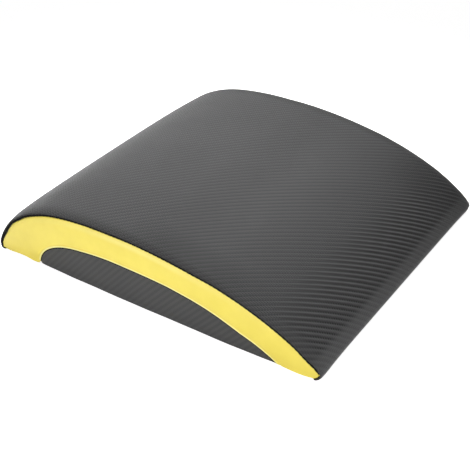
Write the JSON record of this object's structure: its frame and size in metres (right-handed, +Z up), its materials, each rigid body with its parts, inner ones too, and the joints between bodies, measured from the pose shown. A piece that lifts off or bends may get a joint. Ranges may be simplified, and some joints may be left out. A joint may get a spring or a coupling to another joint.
{
  "type": "abdominal exercise mat",
  "caption": "Arched wedge of firm foam in a sewn vinyl cover with contrasting side bands, a flat non-slip base and a zip underneath.",
  "frame": {"origin": "on the floor, under the middle of the mat's bounding box", "axes": "+X along the arch towards its thin front end, +Y across the mat towards its far side, so that the pictured side is -Y, and +Z up"},
  "size_m": [0.375, 0.312, 0.075],
  "materials": {
    "foam_core": "firm moulded foam, open-celled, matt, slightly pitted",
    "top_panel": "dark grey vinyl embossed with a fine twill weave, satin",
    "side_band_near": "yellow vinyl, fine grain, satin",
    "side_band_far": "yellow vinyl, fine grain, satin",
    "side_insert_near": "dark grey vinyl embossed with a fine twill weave, satin",
    "side_insert_far": "dark grey vinyl embossed with a fine twill weave, satin",
    "base_panel_front": "black base cloth with small grip dots, matt",
    "base_panel_rear": "black base cloth with small grip dots, matt",
    "zip_tape_front": "black woven tape with black moulded teeth",
    "zip_tape_rear": "black woven tape with black moulded teeth",
    "zip_top_stop_front": "black painted metal, satin",
    "zip_top_stop_rear": "black painted metal, satin",
    "zip_bottom_stop": "black painted metal, satin",
    "zip_slider": "black painted metal, satin, worn at its edges",
    "zip_pull": "black painted metal, satin, worn at its edges"
  },
  "bodies": {
    "mat": {"foam_core": "foam_core", "top_panel": "top_panel", "side_band_near": "side_band_near", "side_band_far": "side_band_far", "side_insert_near": "side_insert_near", "side_insert_far": "side_insert_far", "base_panel_front": "base_panel_front", "base_panel_rear": "base_panel_rear", "zip_tape_front": "zip_tape_front", "zip_tape_rear": "zip_tape_rear", "zip_top_stop_front": "zip_top_stop_front", "zip_top_stop_rear": "zip_top_stop_rear", "zip_bottom_stop": "zip_bottom_stop"},
    "zip_slider": {"zip_slider": "zip_slider"},
    "zip_pull": {"zip_pull": "zip_pull"}
  },
  "joints": [
    {"name": "zip_slide", "type": "slide", "parent": "mat", "child": "zip_slider", "axis": [0, 1, 0], "range_m": [0, 0.249], "deforming": ["zip_tape_front", "zip_tape_rear"]},
    {"name": "pull_swing", "type": "hinge", "parent": "zip_slider", "child": "zip_pull", "pos_m": [-0.0575, -0.12748, 0.0019], "axis": [-1, 0, 0], "range_deg": [0, 180]}
  ]
}
